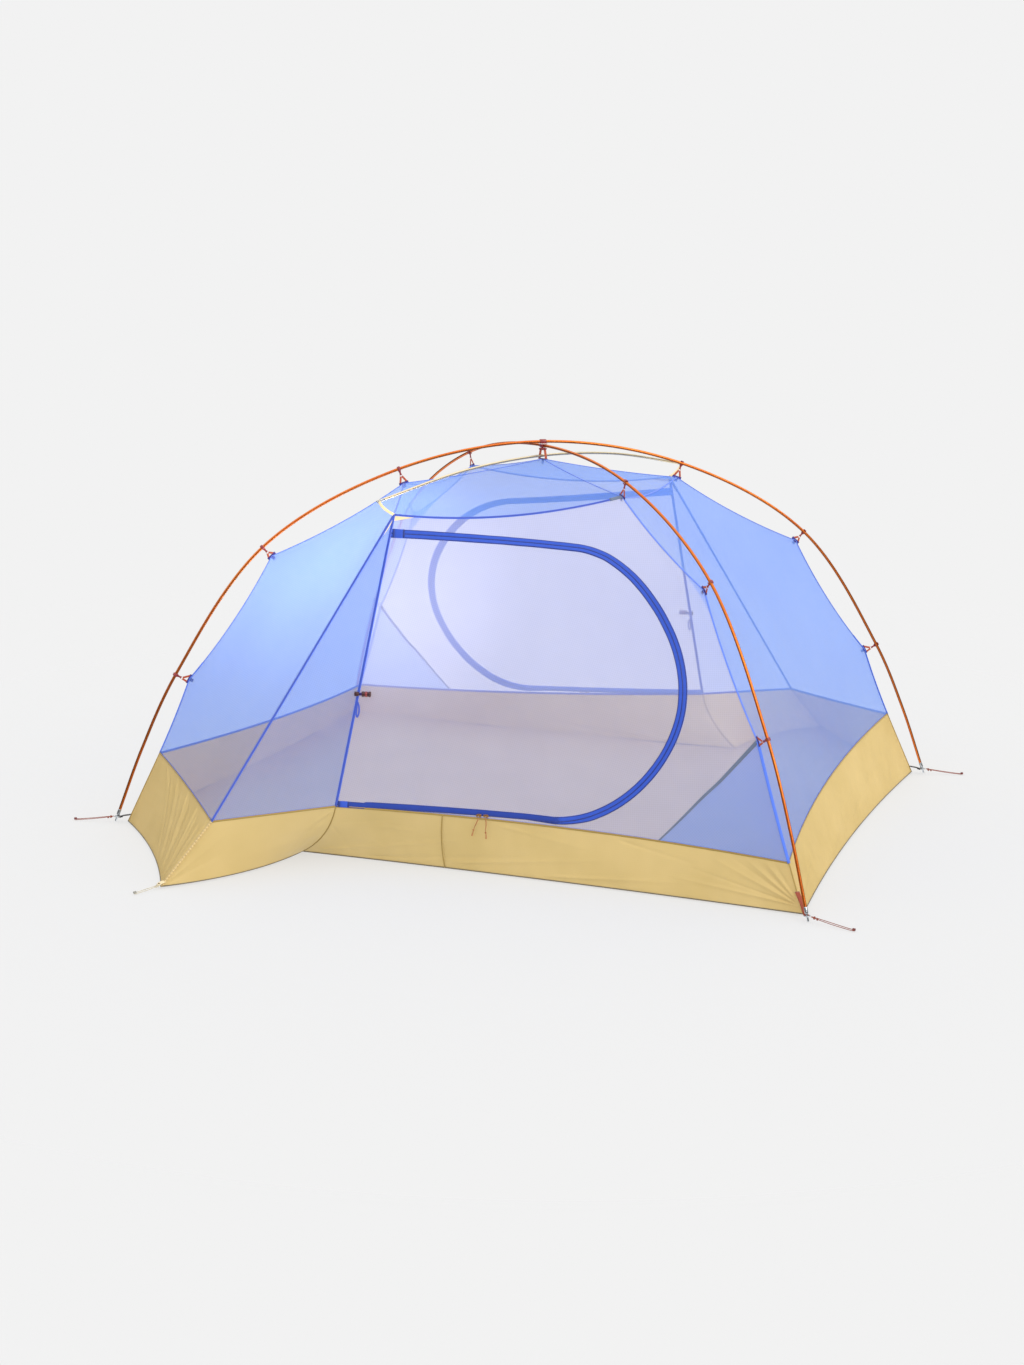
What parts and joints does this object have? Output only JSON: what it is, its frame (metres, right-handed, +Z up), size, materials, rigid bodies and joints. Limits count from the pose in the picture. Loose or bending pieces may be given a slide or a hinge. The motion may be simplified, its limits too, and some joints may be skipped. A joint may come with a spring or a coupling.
{
  "type": "trekking tent",
  "caption": "Freestanding inner tent: crossed arch poles and a short ridge pole hold a ripstop and mesh canopy with hooks over a coated tub floor, with D-shaped zip doors.",
  "frame": {"origin": "on the ground plane, straight below the hub where the two arch poles cross", "axes": "+X along the sleepers' length, -Y towards the front door, +Z up"},
  "size_m": [2.462, 2.6802, 1.165],
  "materials": {
    "pole": "anodised burnt orange, satin with bright highlights",
    "ridge_pole": "anodised champagne",
    "pole_foot": "bare turned metal",
    "hook": "moulded dark red",
    "ripstop": "thin blue ripstop that light passes through",
    "mesh": "fine lavender mosquito mesh",
    "tub_cloth": "coated golden tan",
    "floor_cloth": "coated greyish mauve inside",
    "webbing": "woven orange-red tape",
    "slider": "bronze",
    "toggle": "dark red barrel",
    "cord": "braided light cord"
  },
  "bodies": {
    "tent": {"main_pole_a": "pole", "main_pole_b": "pole", "ridge_pole": "ridge_pole", "hub_clip": "hook", "floor": "floor_cloth", "roof_front": "ripstop", "roof_right": "ripstop", "end_wall_right": "ripstop", "wing_side_front": "ripstop", "wing_face_front": "ripstop", "door_wall_front": "mesh", "tub_front": "tub_cloth", "tub_end_right": "tub_cloth", "tub_wing_side_front": "tub_cloth", "tub_wing_face_front": "tub_cloth", "roof_back": "ripstop", "roof_left": "ripstop", "end_wall_left": "ripstop", "wing_side_back": "ripstop", "wing_face_back": "ripstop", "door_wall_back": "mesh", "tub_back": "tub_cloth", "tub_end_left": "tub_cloth", "tub_wing_side_back": "tub_cloth", "tub_wing_face_back": "tub_cloth", "hook_front_left_upper": "hook", "hook_front_right_upper": "hook", "hook_front_left_middle": "hook", "hook_front_right_middle": "hook", "hook_front_left_lower": "hook", "hook_front_right_lower": "hook", "hook_back_right_upper": "hook", "hook_back_left_upper": "hook", "hook_back_right_middle": "hook", "hook_back_left_middle": "hook", "hook_back_right_lower": "hook", "hook_back_left_lower": "hook", "pole_foot_front_left": "pole_foot", "pole_foot_front_right": "pole_foot", "pole_foot_back_right": "pole_foot", "pole_foot_back_left": "pole_foot", "corner_strap_front_left": "webbing", "corner_strap_front_right": "webbing", "corner_strap_back_right": "webbing", "corner_strap_back_left": "webbing", "stake_loop_front_left": "cord", "stake_loop_front_right": "cord", "stake_loop_wing_front": "cord", "stake_loop_back_right": "cord", "stake_loop_back_left": "cord", "stake_loop_wing_back": "cord"},
    "front_door": {"door_front": "mesh"},
    "back_door": {"door_back": "mesh"},
    "front_slider_hinge_side": {"zip_slider_front_hinge_side": "slider"},
    "front_slider_free_side": {"zip_slider_front_free_side": "slider"},
    "back_slider_hinge_side": {"zip_slider_back_hinge_side": "slider"},
    "back_slider_free_side": {"zip_slider_back_free_side": "slider"},
    "front_toggle": {"tie_back_toggle_front": "toggle"},
    "back_toggle": {"tie_back_toggle_back": "toggle"}
  },
  "joints": [
    {"name": "front_door_hinge", "type": "hinge", "parent": "tent", "child": "front_door", "pos_m": [-0.22, -0.607, 0.991], "axis": [-0.0638, -0.3246, -0.9437], "range_deg": [0, 95]},
    {"name": "front_zip_to_hinge", "type": "slide", "parent": "tent", "child": "front_slider_hinge_side", "axis": [-0.9668, -0.2549, 0.0189], "range_m": [0, 0.345]},
    {"name": "front_zip_to_curve", "type": "slide", "parent": "tent", "child": "front_slider_free_side", "axis": [0.9833, 0.1811, -0.0192], "range_m": [0, 0.17]},
    {"name": "front_toggle_turn", "type": "hinge", "parent": "front_door", "child": "front_toggle", "pos_m": [-0.22706, -0.7812, 0.49144], "axis": [0.2561, -0.9193, 0.2989], "range_deg": [-40, 40]},
    {"name": "back_door_hinge", "type": "hinge", "parent": "tent", "child": "back_door", "pos_m": [0.22, 0.607, 0.991], "axis": [0.0638, 0.3246, -0.9437], "range_deg": [0, 95]},
    {"name": "back_zip_to_hinge", "type": "slide", "parent": "tent", "child": "back_slider_hinge_side", "axis": [0.9668, 0.2549, 0.0189], "range_m": [0, 0.345]},
    {"name": "back_zip_to_curve", "type": "slide", "parent": "tent", "child": "back_slider_free_side", "axis": [-0.9833, -0.1811, -0.0192], "range_m": [0, 0.17]},
    {"name": "back_toggle_turn", "type": "hinge", "parent": "back_door", "child": "back_toggle", "pos_m": [0.22706, 0.7812, 0.49144], "axis": [-0.2561, 0.9193, 0.2989], "range_deg": [-40, 40]}
  ]
}
